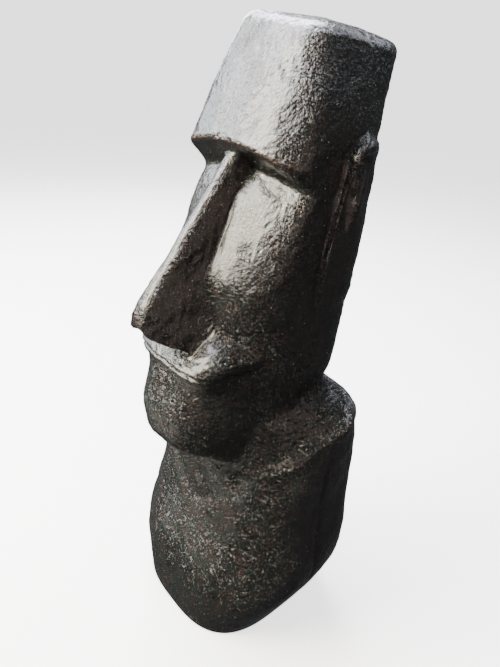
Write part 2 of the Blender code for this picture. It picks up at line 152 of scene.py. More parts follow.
# (height, depth) of the block of the mouth and the chin: a hollow lies between chin and lips
HOLLOW_Y = 0.5 * (LIP_Y + CHIN_Y) - 0.007
MUZZLE_DEPTHS = [(CHIN_LOW_Z - 0.010, NECK_Y), (CHIN_LOW_Z + 0.002, CHIN_Y - 0.018),
                 (CHIN_LOW_Z + 0.020, CHIN_Y - 0.005), (CHIN_Z - 0.010, CHIN_Y),
                 (0.5 * (CHIN_Z + MOUTH_Z), HOLLOW_Y), (MOUTH_Z - 0.014, LIP_Y - 0.007),
                 (MOUTH_Z - 0.004, LIP_Y - 0.001), (MOUTH_Z + 0.004, LIP_Y),
                 (0.620, LIP_Y - 0.064), (0.70, 0)]
MUZZLE_SOFT = 0.010          # easing where it meets the face, and of its own corners
CHIN_SOFT = 0.012
LIP_SOFT = 0.004
LIPS_START_OVER = (MOUTH_Z - 0.035, MOUTH_Z - 0.018)
CHIN_STARTS_OVER = (CHIN_LOW_Z, 0.43)
PARTING_DEPTH = 0.006        # the line between the lips
PARTING_HALF_HEIGHT = 0.0028
PARTING_ENDS_OVER = (0.074, 0.084)

# (height, half width) and (height, exponent) of that block
MUZZLE_HALF_WIDTHS = [(CHIN_LOW_Z, 0.099), (0.445, 0.105), (CHIN_Z, 0.107), (0.52, 0.100),
                      (MOUTH_Z - 0.004, 0.093), (MOUTH_Z + 0.008, 0.099), (0.570, 0.102),
                      (0.584, 0.094), (0.600, 0.065), (0.62, 0.045)]
MUZZLE_SQUARENESS = [(CHIN_LOW_Z, 3.8), (CHIN_Z, 4.5), (0.52, 5.5), (MOUTH_Z, 10.0), (0.60, 7.0)]

# (height, share) of the muzzle's front that is flat, and not bowed like the face behind it
MUZZLE_FLATNESS = [(CHIN_LOW_Z, 0.3), (CHIN_Z, 0.3), (0.52, 0.4), (MOUTH_Z - 0.01, 0.7),
                   (0.62, 0.8)]
BOW_LIMIT = 0.85             # the face's bow is followed out to this share of its half width

# (height, power) of the muzzle's corners: above 1 they run out softly into the jaw
MUZZLE_CORNERS = [(CHIN_Z, 1.5), (0.52, 1.5), (MOUTH_Z, 1.0)]

# (height, half width) of the nose at its foot, where it meets the face
NOSE_FEET = [(0.575, 0.040), (0.60, 0.040), (0.64, 0.033), (0.68, 0.024), (0.73, 0.020),
             (0.81, 0.0165)]
# (height, depth) and (height, half width) of the nose's ridge
NOSE_RIDGE = [(NOSE_Z - 0.05, 0.222), (NOSE_Z - 0.004, 0.2195), (NOSE_Z + 0.008, 0.2185),
              (0.66, 0.203), (0.70, 0.175), (0.74, 0.146), (0.78, 0.118), (EYE_Z, 0.089),
              (BROW_Z, 0.067)]
NOSE_RIDGE_HALF_WIDTHS = [(NOSE_Z, 0.0135), (0.78, 0.0110)]
NOSE_RIDGE_SOFT = 0.004      # rounding of the ridge's edges, and what it takes off its width
NOSE_RIDGE_TRIM = 0.0004
# (height, power) of the nose's sides: above 1 they are full, and at 1 they are flat
NOSE_FULLNESS = [(0.57, 2.6), (0.60, 2.1), (0.63, 1.3), (0.67, 1.0)]
NOSE_TURN_IN = 0.014         # height over which the sides end at the underside
NOSE_ENDS_OVER = (BROW_Z - 0.016, BROW_Z + 0.002)
# (height, fullness) of the face beside the nose
CHEEK_FULLNESS = [(0.56, 0), (0.60, 0.008), (0.66, 0.011), (0.78, 0.017), (EYE_Z, 0.004),
                  (BROW_Z, 0)]
CHEEK_FULL_TO = 0.058        # how far out that fullness reaches
# the septum, which fills the underside between the wings
SEPTUM_SLOPE = 1.45          # it runs back by this much for each unit down
SEPTUM_MOST = 0.08           # the most that it adds to the face's depth
SEPTUM_ENDS_OVER = (0.032, 0.044)
# how far the underside droops on its way out to the wings
NOSE_DROOP_SLOPE = 1.30
NOSE_DROOP_FROM = 0.012
NOSE_DROOP_TO = 0.044
# (height, share) of that droop that the skin's rings follow, and where they leave it
RING_DROOPS = [(0.562, 0), (NOSE_Z, 1), (0.76, 0)]
RING_DROOP_SOFT = 0.004
RING_DROOP_ENDS_OVER = (0.050, 0.11)

EAR_LOW_Z = 0.651
EAR_HIGH_Z = 0.874
EAR_TOP_Y = 0.064            # where its top is highest, and how fast it falls from there
EAR_ARCH = 9
EAR_SLAB = 0.003             # how far the ear's front stands out from the head, and its back
EAR_BACK_SLAB = 0.005
EAR_FOLD = 0.008             # height of the fold inside the ear, and depth of its cup
EAR_CUP = 0.011
EAR_STARTS_OVER = (EAR_LOW_Z - 0.025, EAR_LOW_Z + 0.012)
EAR_TOP_SOFT = 0.008         # the ear ends this far above and below its top's line
EAR_EDGE_OVER = (-0.0015, 0.003)
EAR_BACK_OVER = (0.02, 0.06)
# places behind the ear's front edge, and half sizes: the rim, the fold and the cup
EAR_RIM_AT = 0.005
EAR_RIM_STARTS_OVER = (EAR_LOW_Z - 0.03, EAR_LOW_Z + 0.04)
EAR_FOLD_AT = 0.043
EAR_FOLD_HALF_WIDTH = 0.010
EAR_FOLD_STARTS_OVER = (EAR_LOW_Z + 0.09, EAR_LOW_Z + 0.14)
EAR_FOLD_ENDS_OVER = (EAR_HIGH_Z - 0.055, EAR_HIGH_Z - 0.035)
EAR_CUP_AT = 0.030
EAR_CUP_HALF_WIDTH = 0.020
EAR_CUP_STARTS_OVER = (EAR_LOW_Z + 0.08, EAR_LOW_Z + 0.16)
EAR_CUP_BELOW_TOP = (0.032, 0.020)
# the rim along the top lies this far below it, and fades out toward the back
EAR_TOP_RIM_BELOW = 0.012
EAR_TOP_RIM_HALF_WIDTH = 0.0125
EAR_TOP_RIM_OVER = (-0.002, 0.008)
EAR_RIM_FADE = 0.70
EAR_RIM_FADES_OVER = (0.025, 0.060)
# (height, width) and (height, height out of the head) of the ear's rolled rim
EAR_RIM_WIDTHS = [(EAR_LOW_Z, 0.0030), (0.78, 0.0045), (EAR_HIGH_Z - 0.02, 0.0075)]
EAR_RIMS = [(EAR_LOW_Z, 0.0050), (0.80, 0.0065), (EAR_HIGH_Z - 0.025, 0.0140)]
# (height, y) of the ear's front edge
EAR_FRONTS = [(0.640, 0.001), (0.682, -0.001), (0.716, 0), (0.747, 0.006), (0.780, 0.012),
              (0.812, 0.019), (0.838, 0.024), (0.853, 0.027), (0.864, 0.035), (0.871, 0.045),
              (0.875, 0.06)]
EAR_FRONT_SOFT = 0.008

BROW_ARCH = 1.4              # fall of the brow's edge toward the temples
BROW_LIFT = 0.004
BROW_BOW = 0.6               # how far the forehead bows back toward the temples
# the face's planes take up that arch, and so do the skin's rings, which level out again above it
FACE_ARCHES_OVER = (0.74, 0.80)
FOREHEAD_OVER = (0.84, 0.86)
RINGS_ARCH_OVER = (0.74, 0.82)
RINGS_LEVEL_OVER = (0.87, 0.95)

ARM_GROOVE = 0.004           # depth of the groove of the arm, and where it runs down
ARM_GROOVE_Y = 0.028
ARM_GROOVE_HALF_WIDTH = 0.005
ARM_GROOVE_STARTS_OVER = (0.05, 0.09)
ARM_GROOVE_ENDS_OVER = (0.30, 0.35)

# shares of the half width over which the front of a section turns into its side
SIDE_OVER = (0.5, 0.8)

CROWN_EDGE = 0.012           # rounding of the crown's rim
BASE_EDGE = 0.006            # rounding of the underside's rim
CROWN_DOME = 0.010           # rise of the crown's middle over its rim
CROWN_FALL = -0.060          # slope of the crown from front to back
CROWN_LEAN = -0.095          # slope of the crown from side to side: it was set a little askew
CROWN_SLOPES_OVER = (0.86, 1)

# shares of the way up the skin where the base's rim, the wall and the crown's rim end
WAY_BASE = 0.010
WAY_RIM = 0.935
WAY_CAP = 0.950

# (height, rings up to it from the one before) on the wall
RING_LANES = [(BASE_EDGE, 0), (0.10, 4), (0.33, 9), (RIDGE_Z - 0.014, 2), (RIDGE_Z + 0.016, 6),
              (0.43, 4), (0.475, 4), (MOUTH_Z - 0.012, 5), (MOUTH_Z + 0.008, 6),
              (NOSE_Z - 0.018, 5), (NOSE_Z, 4), (0.66, 3), (0.79, 7), (BROW_Z - 0.004, 5),
              (BROW_Z + 0.008, 3), (0.90, 3), (1 - CROWN_EDGE, 5)]
BASE_RINGS = 2               # rings on the base's rim, on the crown's rim and across the crown
RIM_RINGS = 3
CAP_RINGS = 5
# columns between one line down the head and the next, from the middle of the face to the back
COLUMN_LANES = [1, 2, 4, 2, 3, 4, 4, 2, 2, 3, 3, 4]
RIDGE_LINES = (-0.003, 0.005)    # lines beside the edge of the nose's ridge
CHEEK_LINES = (0.070, 0.092)     # lines at these half breadths
EAR_LINES = (-0.002, 0.003, 0.012, 0.043)    # lines behind the ear's front edge
EAR_LINE_BELOW_TOP = 0.02        # they stop following it this far below its top
SIDE_LINE = 0.34                 # a line before the ear, and one behind it
BACK_LINE = 0.78
LINES_START_OVER = (0.40, 0.46)
LINES_END_OVER = (0.86, 0.93)
GIRTH_X = 0.08               # the face's depth is taken here to space the columns evenly
GIRTH_POINTS = 401
EDGE_SHARE = 0.995           # the nearest to a section's edge that a line is sought
HARDLY = 1e-9                # a length that adds nothing, but keeps a division safe


# ---- curves ----
def ease(low, high, v):
    """0 below low, 1 above high, and a smooth S between them."""
    t = np.clip((v - low) / (high - low), 0, 1)
    return t * t * (3 - 2 * t)


def bump(v, middle, width):
    """A rounded bump, 1 at the middle and nearly 0 two widths away from it."""
    return np.exp(-((v - middle) / width) ** 2)


def flowing(v, stations):
    """A smooth curve through (place, value) stations that never overshoots them."""
    place, value = np.array(stations, float).T
    slope = np.diff(value) / np.diff(place)
    product, total = slope[:-1] * slope[1:], slope[:-1] + slope[1:]
    inner = np.where(product > 0, 2 * product / np.where(total == 0, 1, total), 0)
    tangent = np.concatenate([slope[:1], inner, slope[-1:]])
    v = np.clip(v, place[0], place[-1])
    i = np.clip(np.searchsorted(place, v) - 1, 0, len(place) - 2)
    span = place[i + 1] - place[i]
    t = (v - place[i]) / span
    return ((1 + 2 * t) * (1 - t) ** 2 * value[i] + t * (1 - t) ** 2 * span * tangent[i]
            + t * t * (3 - 2 * t) * value[i + 1] + t * t * (t - 1) * span * tangent[i + 1])


def bent(v, stations, soft):
    """Straight runs between (place, value) stations, with each corner eased over +-soft."""
    place, value = np.array(stations, float).T
    shifts = np.linspace(-soft, soft, 7)
    weights = np.array([1, 2, 3, 4, 3, 2, 1]) / 16
    return sum(w * np.interp(v + s, place, value) for w, s in zip(weights, shifts))


def soft_max(a, b, soft):
    """The larger of two values, with the crease where they cross eased over about +-soft."""
    gap = a - b
    eased = 0.5 * (a + b + np.sqrt(gap * gap + soft * soft))
    return eased - 0.5 * soft * np.exp(-(gap / (3 * soft)) ** 2)


def soft_ramp(v, soft):
    """0 well below 0 and v well above it, with the corner eased over about +-soft."""
    return 0.5 * (v + np.hypot(v, soft))


# ---- carving, as depths in front of the axis ----
def brow_line(x):
    """Height of the brow's edge: an arch, lower toward the temples."""
    return BROW_Z + BROW_LIFT - BROW_ARCH * x * x


def chest_depth(x, z):
    """Front of the torso: it swells out below the neckline and then tucks in to the underside."""
    over_line = z - NECKLINE_Z - NECKLINE_SLOPE * np.hypot(x, NECKLINE_POINT)
    neck = ease(*NECKLINE_OVER, over_line) * (1 - ease(*NECK_ENDS_OVER, z))
    neck = neck * (1 - ease(*NECK_NARROWS_OVER, x))
    swell = bump(x, BELLY_X, BELLY_HALF_WIDTH) * bump(z, BELLY_Z, BELLY_HALF_HEIGHT)
    return flowing(z, CHEST_DEPTHS) - NECK_SET_BACK * neck + BELLY_SWELL * swell


def nose_droop(x):
    """How far the underside of the nose hangs below its tip, out toward the wings."""
    return NOSE_DROOP_SLOPE * np.clip(x - NOSE_DROOP_FROM, 0, NOSE_DROOP_TO - NOSE_DROOP_FROM)


def face_depth(x, z):
    """Forehead, overhanging brow, eye hollow and cheek: bent planes that follow the brow's arch."""
    z = z + (BROW_Z - brow_line(x)) * ease(*FACE_ARCHES_OVER, z)
    soft, crisp = bent(z, FACE_DEPTHS, FACE_SOFT), bent(z, FACE_DEPTHS, FACE_CRISP)
    depth = soft + (crisp - soft) * ease(*CRISP_OVER, z)
    depth = depth + flowing(z, CHEEK_FULLNESS) * bump(x, 0, CHEEK_FULL_TO)
    return depth - BROW_BOW * x * x * ease(*FOREHEAD_OVER, z)


def add_muzzle(depth, x, z):
    """The block of the mouth and chin: a sloping upper lip, a fine parting and a hollow below it.

    The lips and the chin's underside have crisp corners, and the chin has soft ones.
    """
    chin, lips = bent(z, MUZZLE_DEPTHS, CHIN_SOFT), bent(z, MUZZLE_DEPTHS, LIP_SOFT)
    crispness = np.maximum(ease(*LIPS_START_OVER, z), 1 - ease(*CHIN_STARTS_OVER, z))
    profile = chin + (lips - chin) * crispness
    across = np.clip(x / flowing(z, HALF_WIDTHS), 0, BOW_LIMIT)
    n = flowing(z, FRONT_SQUARENESS)
    unbowed = (1 - across ** n) ** (-1 / n)
    profile = profile * (1 + flowing(z, MUZZLE_FLATNESS) * (unbowed - 1))
    share = np.clip(x / flowing(z, MUZZLE_HALF_WIDTHS), 0, 1)
    breadth = (1 - share ** flowing(z, MUZZLE_SQUARENESS)) ** flowing(z, MUZZLE_CORNERS)
    parting = PARTING_DEPTH * bump(z, MOUTH_Z, PARTING_HALF_HEIGHT)
    parting = parting * (1 - ease(*PARTING_ENDS_OVER, x))
    return depth + (soft_max(depth, profile, MUZZLE_SOFT) - depth) * breadth - parting


def add_nose(depth, x, z):
    """A long straight ridge with flat sides, which flare into wings over the lip."""
    ridge, half = flowing(z, NOSE_RIDGE), flowing(z, NOSE_RIDGE_HALF_WIDTHS)
    off = soft_ramp(x - half, NOSE_RIDGE_SOFT) - NOSE_RIDGE_TRIM
    fall = np.clip(off / (flowing(z, NOSE_FEET) - half), 0, 1)
    underside = NOSE_Z - nose_droop(x)
    present = ease(underside - NOSE_TURN_IN, underside, z) * (1 - ease(*NOSE_ENDS_OVER, z))
    stands = 1 - fall ** flowing(z, NOSE_FULLNESS)
    nose = depth + np.maximum(ridge - depth, 0) * stands * present
    tip = NOSE_RIDGE[1][1]
    septum = tip - SEPTUM_SLOPE * (NOSE_Z - z)
    fill = np.clip(septum - nose, 0, SEPTUM_MOST) * (1 - present) * (z < NOSE_Z)
    return nose + fill * (1 - ease(*SEPTUM_ENDS_OVER, x))


def ear_front(z):
    """Depth of the ear's front edge, which sweeps back over its top."""
    return bent(z, EAR_FRONTS, EAR_FRONT_SOFT)


def ear_height(y, z):
    """How far the ear stands out from the side of the head: a long slab with a rolled rim.

    Inside the rim it has a shallow cup, and a fold behind that.
    """
    top = EAR_HIGH_Z - EAR_ARCH * (y - EAR_TOP_Y) ** 2
    back = y - ear_front(z)
    here = ease(*EAR_STARTS_OVER, z) * (1 - ease(top - EAR_TOP_SOFT, top + EAR_TOP_SOFT, z))
    here = here * ease(*EAR_EDGE_OVER, back)
    rim = bump(back, EAR_RIM_AT, flowing(z, EAR_RIM_WIDTHS)) * ease(*EAR_RIM_STARTS_OVER, z)
    top_rim = bump(z, top - EAR_TOP_RIM_BELOW, EAR_TOP_RIM_HALF_WIDTH)
    top_rim = top_rim * ease(*EAR_TOP_RIM_OVER, back)
    far, near = EAR_CUP_BELOW_TOP
    in_cup = ease(*EAR_CUP_STARTS_OVER, z) * (1 - ease(top - far, top - near, z))
    cup = bump(back, EAR_CUP_AT, EAR_CUP_HALF_WIDTH) * in_cup
    fold = bump(back, EAR_FOLD_AT, EAR_FOLD_HALF_WIDTH) * ease(*EAR_FOLD_STARTS_OVER, z)
    fold = fold * (1 - ease(*EAR_FOLD_ENDS_OVER, z))
    slab = EAR_SLAB + (EAR_BACK_SLAB - EAR_SLAB) * ease(*EAR_BACK_OVER, back)
    kept = 1 - EAR_RIM_FADE * ease(*EAR_RIM_FADES_OVER, back)
    rims = flowing(z, EAR_RIMS) * np.maximum(rim, top_rim) * kept
    return here * (slab + rims + EAR_FOLD * fold - EAR_CUP * cup)


def arm_groove(y, z):
    """Depth of the straight groove that sets off the arm along the side of the torso."""
    groove = ARM_GROOVE * bump(y, ARM_GROOVE_Y, ARM_GROOVE_HALF_WIDTH)
    return groove * ease(*ARM_GROOVE_STARTS_OVER, z) * (1 - ease(*ARM_GROOVE_ENDS_OVER, z))


# ---- the skin ----
def heights_and_insets(way):
    """Height of each ring while level, how far its rim draws it in, and how far across the cap."""
    wall = np.interp(way, [0, WAY_BASE, WAY_RIM], [BASE_EDGE, BASE_EDGE, 1 - CROWN_EDGE])
    base_turn = np.clip((WAY_BASE - way) / WAY_BASE, 0, 1) * np.pi / 2
    rim_turn = np.clip((way - WAY_RIM) / (WAY_CAP - WAY_RIM), 0, 1) * np.pi / 2
    z = wall - BASE_EDGE * np.sin(base_turn) + CROWN_EDGE * np.sin(rim_turn)
    inset = BASE_EDGE * (1 - np.cos(base_turn)) + CROWN_EDGE * (1 - np.cos(rim_turn))
    return z, inset, np.clip((way - WAY_CAP) / (1 - WAY_CAP), 0, 1)


def section(around, z):
    """Half width of a rounded-box section, and the point of a unit one: across it, and along it.

    The point lies where |across| ** n + |along| ** n = 1, and along is negative at the front.
    """
    turn = (around - 0.5) * np.pi
    across, along = np.cos(turn), np.sin(turn)
    n = np.where(along < 0, flowing(z, FRONT_SQUARENESS), flowing(z, BACK_SQUARENESS))
    reach = (np.abs(across) ** n + np.abs(along) ** n) ** (-1 / n)
    return flowing(z, HALF_WIDTHS), reach * across, reach * along


def around_at_x(x, z):
    """Where around the front of a section its half breadth is x."""
    n = flowing(z, FRONT_SQUARENESS)
    share = np.clip(x / flowing(z, HALF_WIDTHS), 0, EDGE_SHARE)
    return np.arctan2(share, (1 - share ** n) ** (1 / n)) / np.pi


def around_at_y(y, z):
    """Where around the side of a section its depth behind the axis is y."""
    middle = flowing(z, MIDDLES)
    behind = y > middle
    depth = np.where(behind, flowing(z, BACK_DEPTHS) - middle,
                     face_depth(flowing(z, HALF_WIDTHS), z) + middle)
    n = np.where(behind, flowing(z, BACK_SQUARENESS), flowing(z, FRONT_SQUARENESS))
    share = np.clip(np.abs(y - middle) / depth, 0, EDGE_SHARE)
    return 0.5 + np.sign(y - middle) * np.arctan2(share, (1 - share ** n) ** (1 / n)) / np.pi


def head_lines(z):
    """Where around each ring the lines of the head are: nose, cheek, ear and back corner."""
    ones = np.ones_like(z)
    ridge = flowing(z, NOSE_RIDGE_HALF_WIDTHS)
    ear = ear_front(np.clip(z, EAR_LOW_Z, EAR_HIGH_Z - EAR_LINE_BELOW_TOP))
    lines = [0 * z] + [around_at_x(ridge + off, z) for off in RIDGE_LINES]
    lines += [around_at_x(flowing(z, NOSE_FEET), z)]
    lines += [around_at_x(x * ones, z) for x in CHEEK_LINES] + [SIDE_LINE * ones]
    lines += [around_at_y(ear + off, z) for off in EAR_LINES] + [BACK_LINE * ones, ones]
    return np.stack(lines, -1)


def skin_grid(fineness):
    """Parameters of the skin's points, in rings whose columns follow the lines of the head.

    Below and above the head the columns are evenly spaced round each ring.
    """
    steps = np.concatenate([[0], np.cumsum(COLUMN_LANES)])
    share = steps / steps[-1]
    column = np.linspace(0, 1, fineness * steps[-1] + 1)
    heights, counts = np.array(RING_LANES).T
    rings = np.cumsum(counts)
    z = np.interp(np.linspace(0, rings[-1], int(fineness * rings[-1]) + 1), rings, heights)
    way = np.interp(z, [BASE_EDGE, 1 - CROWN_EDGE], [WAY_BASE, WAY_RIM])
    base = np.linspace(0, WAY_BASE, BASE_RINGS * fineness + 1)[:-1]
    rim = np.linspace(WAY_RIM, WAY_CAP, RIM_RINGS * fineness + 1)[1:]
    cap = np.linspace(WAY_CAP, 1, CAP_RINGS * fineness + 1)[1:]
    way = np.concatenate([base, way, rim, cap])
    z = heights_and_insets(way)[0]

    fine = np.linspace(0, 1, GIRTH_POINTS)
    width, across, along = section(fine[None], z[:, None])
    depth = np.where(along < 0, face_depth(GIRTH_X, z)[:, None], flowing(z, BACK_DEPTHS)[:, None])
    girth = np.hypot(np.diff(width * across, axis=1), np.diff(depth * along, axis=1))
    girth = np.concatenate([np.zeros((len(z), 1)), np.cumsum(girth, axis=1)], 1)
    even = np.stack([np.interp(column * g[-1], g, fine) for g in girth])
    lined = np.stack([np.interp(column, share, lines) for lines in head_lines(z)])
    on_head = (ease(*LINES_START_OVER, z) * (1 - ease(*LINES_END_OVER, z)))[:, None]
    around = lined * on_head + even * (1 - on_head)
    return around, np.tile(way[:, None], (1, around.shape[1]))


def skin(around, way, side):
    """Points of the skin in metres, for arrays of parameters; side is 1 or -1.

    Each section is a rounded box, |x / half width| ** n + |y / depth| ** n = 1.  Its front depth
    carries the face, its back rises with the shoulders, and its rings draw in at both rims.
    """
    z, inset, cap = heights_and_insets(way)
    width, across, along = section(around, z)
    x = width * across
    hang = nose_droop(x) * (1 - ease(*RING_DROOP_ENDS_OVER, x)) * (along < 0)
    hang = hang * bent(z, RING_DROOPS, RING_DROOP_SOFT)
    arch = BROW_ARCH * x * x - BROW_LIFT
    arch = arch * ease(*RINGS_ARCH_OVER, z) * (1 - ease(*RINGS_LEVEL_OVER, z))
    z = z - hang - arch
    width, across, along = section(around, z)
    x = width * across

    face = np.where(z < THROAT_Z, chest_depth(x, z), face_depth(x, z))
    back = flowing(z, BACK_DEPTHS)
    front = add_nose(add_muzzle(face, x, z), x, z)
    middle = flowing(z, MIDDLES)
    y = middle + along * np.where(along < 0, front + middle, back - middle)

    ridge = ease(*SHOULDER_STARTS_OVER, z) * (1 - ease(*SHOULDER_ENDS_OVER, z))
    x = x * (1 - SHOULDER_ROLL * ridge * (1 - ease(*SHOULDER_FRONT_OVER, y)))
    on_side = ease(*SIDE_OVER, x / width)
    x = x + (ear_height(y, z) - arm_groove(y, z)) * on_side

    behind = y - RISE_FROM_Y
    low = 1 - ease(*RISE_SOFTENS_OVER, z)
    lift = soft_ramp(behind, RISE_SOFT) * (1 - low) + behind * low
    crown = ease(*CROWN_SLOPES_OVER, z)

    middle_y = 0.5 * (back - face)
    reach_out = np.hypot(x, y - middle_y) + HARDLY
    shrink = (1 - np.minimum(inset, reach_out) / reach_out) * (1 - cap)
    rise = flowing(z, RISES) * lift
    x, y = x * shrink, middle_y + (y - middle_y) * shrink
    dome = CROWN_DOME * (1 - shrink ** 2) * (way > 0.5)
    x = side * x
    z = z + rise + crown * (CROWN_FALL * y + CROWN_LEAN * x) + dome
    return UNIT * np.stack([x, y, z], -1)


# ---- the relief of the casting ----
# (shortest wave, longest wave, number of waves, seed) of the waves and of the dimples
WAVES = (45 * MM, 170 * MM, 40, 3)
DIMPLES = (11 * MM, 24 * MM, 90, 5)
RELIEF_STARTS_OVER = (0.01, 0.03)

BEND_REACH = 9 * MM          # edges are sought by comparing the skin with itself this far off
WORN_OVER = (0.10, 0.40)     # bending over which an edge is worn

# how squarely the skin faces outward, forward or upward where each kind of finish begins
SIDE_OUTWARD_OVER = (0.55, 0.9)
PLANE_FORWARD_OVER = (0.62, 0.76)
PLANE_UPWARD_OVER = (0.15, 0.30)
SHELF_UPWARD_OVER = (0.5, 0.65)
# and the heights: of the brushed sides, the smooth planes of the face, and the shelf of the lip
BRUSHED_OVER = (0.40, 0.46)
PLANE_OVER = (0.63, 0.67)
SHELF_STARTS_OVER = (0.54, 0.55)
SHELF_ENDS_OVER = (0.60, 0.63)
HEAD_LOSES_SAND_OVER = (0.56, 0.66)
SAND_LOST = 0.7              # share of its sandiness that the head loses above the mouth


def ripples(points, shortest, longest, count, seed):
    """Smooth random relief, about 1 high: the sum of many sine waves that run in random directions.

    Each wave is sin(2 pi direction . point / length + phase), its length drawn between the two.
    """
    draw = np.random.default_rng(seed)
    direction = draw.normal(size=(count, 3))
    direction /= np.linalg.norm(direction, axis=1, keepdims=True)
    length = np.exp(draw.uniform(np.log(shortest), np.log(longest), count))
    phase = draw.uniform(0, 2 * np.pi, count)
    total = np.zeros(points.shape[:-1])
    for heading, long, start in zip(direction, length, phase):
        total += np.sin(points @ (heading * 2 * np.pi / long) + start)
    return total * np.sqrt(2 / count)


def closed_skin(fineness):
    """Rings of the whole skin: the left half, and the right half from the back to the front."""
    around, way = skin_grid(fineness)
    left, right = skin(around, way, 1), skin(around, way, -1)[:, -2:0:-1]
    return np.concatenate([left, right], axis=1)


def grid_normals(rings):
    """Outward directions: the cross product of the steps round and up the rings."""
    step_round = np.roll(rings, -1, 1) - np.roll(rings, 1, 1)
    step_up = np.gradient(rings, axis=0)
    normal = np.cross(step_round, step_up)
    return normal / np.maximum(np.linalg.norm(normal, axis=-1, keepdims=True), HARDLY * MM)


def bending(rings, normals, reach):
    """How far the mean of the skin a reach away stands behind each point, over the reach.

    It is above 0 on edges and below 0 in hollows.  The reach is taken in whole steps of the grid.
    """
    rows, columns = rings.shape[:2]
    row, column = np.arange(rows)[:, None], np.arange(columns)[None]
    least = MM / 1000
    girth = np.linalg.norm(np.roll(rings, -1, 1) - rings, axis=-1) + least
    climb = np.linalg.norm(np.diff(rings, axis=0, append=rings[-1:]), axis=-1) + least
    across = np.clip(np.rint(reach / girth), 1, columns // 6).astype(int)
    along = np.clip(np.rint(reach / climb), 1, rows // 6).astype(int)
    around = [rings[row, (column + across) % columns], rings[row, (column - across) % columns],
              rings[np.clip(row + along, 0, rows - 1), column],
              rings[np.clip(row - along, 0, rows - 1), column]]
    return -np.einsum("ijk,ijk->ij", sum(around) / 4 - rings, normals) / reach


def new_piece(name, vertices, faces, material):
    """A smooth mesh at the origin, with one material."""
    mesh = bpy.data.meshes.new(name)
    mesh.from_pydata(vertices, [], faces)
    mesh.shade_smooth()
    mesh.materials.append(material)
    piece = bpy.data.objects.new(name, mesh)
    bpy.context.scene.collection.objects.link(piece)
    return piece


def paint_points(piece, name, values):
    """Store one number at each point, for the material to read."""
    attribute = piece.data.attributes.new(name, "FLOAT", "POINT")
    attribute.data.foreach_set("value", np.asarray(values, np.float32).ravel())


# ---- materials ----
# near-black of the pits: the dirt in them, and painted shade in the hollows
PIT_DIRT_AND_SHADE = 0.004
GLOSS_SPREAD = 0.06          # the roughness wanders by this much either way
WAX_IOR = 1.5
WAX_COAT = 0.30
WAX_COAT_ROUGHNESS = 0.12

# sizes in the relief of the finish, and heights of its layers
STROKE_STRETCH = 0.11        # share of its real height at which the strokes' noise is read
DRIFT_SIZE = 7 * MM          # cells and reach of the drift that bends the pebbles and grains
DRIFT = 5 * MM
GRAIN_SIZE = 4.2 * MM
LUMP_HEIGHT = 2.2 * MM
STROKE_HEIGHT = 1.6 * MM
PIT_DEPTH = 1.4 * MM
POWDER_HEIGHT = 0.9 * MM


def linear(colour):
    """sRGB hex to the linear colour that a shader takes."""
    srgb = np.array([int(colour[i:i + 2], 16) for i in (0, 2, 4)]) / 255
    return (*np.where(srgb <= 0.04045, srgb / 12.92, ((srgb + 0.055) / 1.055) ** 2.4), 1.0)


def add(tree, kind, inputs=None, **settings):
    """Add a node: settings are its properties, inputs its values or the sockets that feed it."""
    node = tree.nodes.new(kind)
    for name, value in settings.items():
        setattr(node, name, value)
    for name, value in (inputs or {}).items():
        if isinstance(value, bpy.types.NodeSocket):
            tree.links.new(value, node.inputs[name])
        else:
            node.inputs[name].default_value = value
    return node


def new_material(name):
    """An empty node material with its shader and its output."""
    material = bpy.data.materials.new(name)
    material.use_nodes = True
    tree = material.node_tree
    tree.nodes.clear()
    shader = add(tree, "ShaderNodeBsdfPrincipled")
    add(tree, "ShaderNodeOutputMaterial", {"Surface": shader.outputs[0]})
    return material, tree, shader


